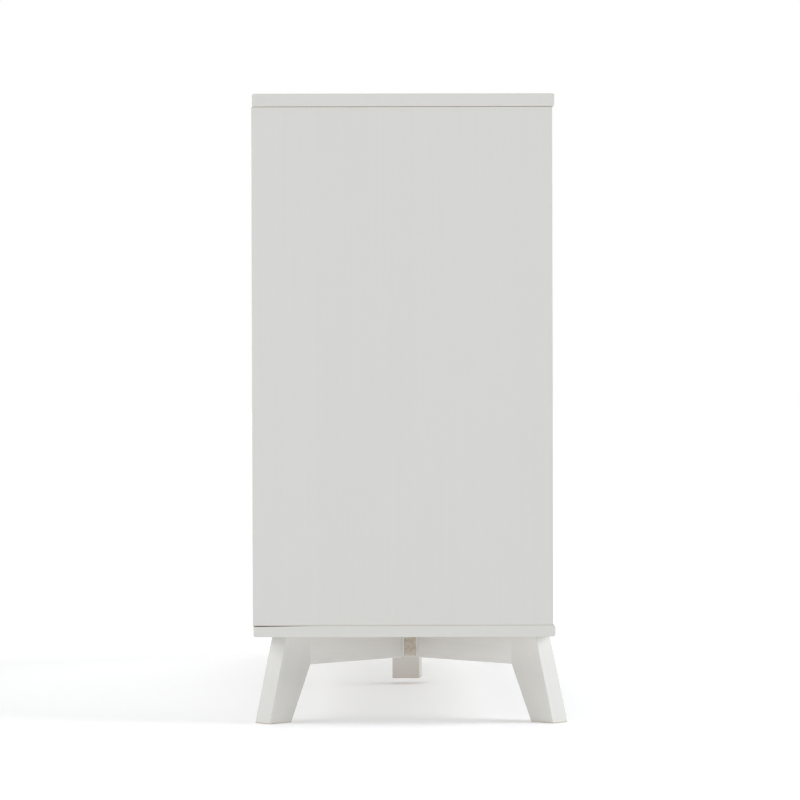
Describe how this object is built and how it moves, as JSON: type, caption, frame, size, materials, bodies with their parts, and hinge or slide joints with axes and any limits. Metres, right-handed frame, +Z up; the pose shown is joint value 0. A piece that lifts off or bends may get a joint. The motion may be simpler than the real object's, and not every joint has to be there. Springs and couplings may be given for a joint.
{
  "type": "apothecary cabinet",
  "caption": "Wide white wooden apothecary cabinet with a grid of inset drawers, on splayed tapered legs joined by a centre beam.",
  "frame": {"origin": "on the floor, at the middle of the overall width and depth", "axes": "+Z up, +X along the width to the right as seen from the front, the drawer fronts face -Y"},
  "size_m": [1.4, 0.4388, 0.876],
  "materials": {
    "white_paint": "matt off-white paint, pine grain faintly showing",
    "bare_pine": "bare planed pine",
    "hardboard": "smooth white-painted hardboard",
    "steel": "bright zinc plating",
    "zinc": "dull die-cast zinc"
  },
  "bodies": {
    "cabinet": {"top_board": "white_paint", "base_board": "white_paint", "left_side_panel": "white_paint", "right_side_panel": "white_paint", "back_panel": "hardboard", "partition_1": "white_paint", "partition_2": "white_paint", "partition_3": "white_paint", "dividers_column_1": "white_paint", "dividers_column_2": "white_paint", "dividers_column_3": "white_paint", "dividers_column_4": "white_paint", "leg_front_left": "white_paint", "leg_front_right": "white_paint", "leg_rear_left": "white_paint", "leg_rear_right": "white_paint", "rail_front_left": "white_paint", "rail_front_right": "white_paint", "rail_rear_left": "white_paint", "rail_rear_right": "white_paint", "centre_beam": "white_paint", "support_leg": "white_paint", "drawer_stops": "bare_pine", "dowels": "bare_pine", "cam_discs": "zinc", "cam_bolts": "steel", "frame_screws": "steel", "back_panel_screws": "steel"},
    "drawer_r1c1": {"drawer_front_r1c1": "white_paint", "drawer_tray_r1c1": "bare_pine"},
    "drawer_r1c2": {"drawer_front_r1c2": "white_paint", "drawer_tray_r1c2": "bare_pine"},
    "drawer_r1c3": {"drawer_front_r1c3": "white_paint", "drawer_tray_r1c3": "bare_pine"},
    "drawer_r1c4": {"drawer_front_r1c4": "white_paint", "drawer_tray_r1c4": "bare_pine"},
    "drawer_r2c1": {"drawer_front_r2c1": "white_paint", "drawer_tray_r2c1": "bare_pine"},
    "drawer_r2c2": {"drawer_front_r2c2": "white_paint", "drawer_tray_r2c2": "bare_pine"},
    "drawer_r2c3": {"drawer_front_r2c3": "white_paint", "drawer_tray_r2c3": "bare_pine"},
    "drawer_r2c4": {"drawer_front_r2c4": "white_paint", "drawer_tray_r2c4": "bare_pine"},
    "drawer_r3c1": {"drawer_front_r3c1": "white_paint", "drawer_tray_r3c1": "bare_pine"},
    "drawer_r3c2": {"drawer_front_r3c2": "white_paint", "drawer_tray_r3c2": "bare_pine"},
    "drawer_r3c3": {"drawer_front_r3c3": "white_paint", "drawer_tray_r3c3": "bare_pine"},
    "drawer_r3c4": {"drawer_front_r3c4": "white_paint", "drawer_tray_r3c4": "bare_pine"},
    "drawer_r4c1": {"drawer_front_r4c1": "white_paint", "drawer_tray_r4c1": "bare_pine"},
    "drawer_r4c2": {"drawer_front_r4c2": "white_paint", "drawer_tray_r4c2": "bare_pine"},
    "drawer_r4c3": {"drawer_front_r4c3": "white_paint", "drawer_tray_r4c3": "bare_pine"},
    "drawer_r4c4": {"drawer_front_r4c4": "white_paint", "drawer_tray_r4c4": "bare_pine"}
  },
  "joints": [
    {"name": "drawer_r1c1_slide", "type": "slide", "parent": "cabinet", "child": "drawer_r1c1", "axis": [0, -1, 0], "range_m": [0, 0.29]},
    {"name": "drawer_r1c2_slide", "type": "slide", "parent": "cabinet", "child": "drawer_r1c2", "axis": [0, -1, 0], "range_m": [0, 0.29]},
    {"name": "drawer_r1c3_slide", "type": "slide", "parent": "cabinet", "child": "drawer_r1c3", "axis": [0, -1, 0], "range_m": [0, 0.29]},
    {"name": "drawer_r1c4_slide", "type": "slide", "parent": "cabinet", "child": "drawer_r1c4", "axis": [0, -1, 0], "range_m": [0, 0.29]},
    {"name": "drawer_r2c1_slide", "type": "slide", "parent": "cabinet", "child": "drawer_r2c1", "axis": [0, -1, 0], "range_m": [0, 0.29]},
    {"name": "drawer_r2c2_slide", "type": "slide", "parent": "cabinet", "child": "drawer_r2c2", "axis": [0, -1, 0], "range_m": [0, 0.29]},
    {"name": "drawer_r2c3_slide", "type": "slide", "parent": "cabinet", "child": "drawer_r2c3", "axis": [0, -1, 0], "range_m": [0, 0.29]},
    {"name": "drawer_r2c4_slide", "type": "slide", "parent": "cabinet", "child": "drawer_r2c4", "axis": [0, -1, 0], "range_m": [0, 0.29]},
    {"name": "drawer_r3c1_slide", "type": "slide", "parent": "cabinet", "child": "drawer_r3c1", "axis": [0, -1, 0], "range_m": [0, 0.29]},
    {"name": "drawer_r3c2_slide", "type": "slide", "parent": "cabinet", "child": "drawer_r3c2", "axis": [0, -1, 0], "range_m": [0, 0.29]},
    {"name": "drawer_r3c3_slide", "type": "slide", "parent": "cabinet", "child": "drawer_r3c3", "axis": [0, -1, 0], "range_m": [0, 0.29]},
    {"name": "drawer_r3c4_slide", "type": "slide", "parent": "cabinet", "child": "drawer_r3c4", "axis": [0, -1, 0], "range_m": [0, 0.29]},
    {"name": "drawer_r4c1_slide", "type": "slide", "parent": "cabinet", "child": "drawer_r4c1", "axis": [0, -1, 0], "range_m": [0, 0.29]},
    {"name": "drawer_r4c2_slide", "type": "slide", "parent": "cabinet", "child": "drawer_r4c2", "axis": [0, -1, 0], "range_m": [0, 0.29]},
    {"name": "drawer_r4c3_slide", "type": "slide", "parent": "cabinet", "child": "drawer_r4c3", "axis": [0, -1, 0], "range_m": [0, 0.29]},
    {"name": "drawer_r4c4_slide", "type": "slide", "parent": "cabinet", "child": "drawer_r4c4", "axis": [0, -1, 0], "range_m": [0, 0.29]}
  ]
}
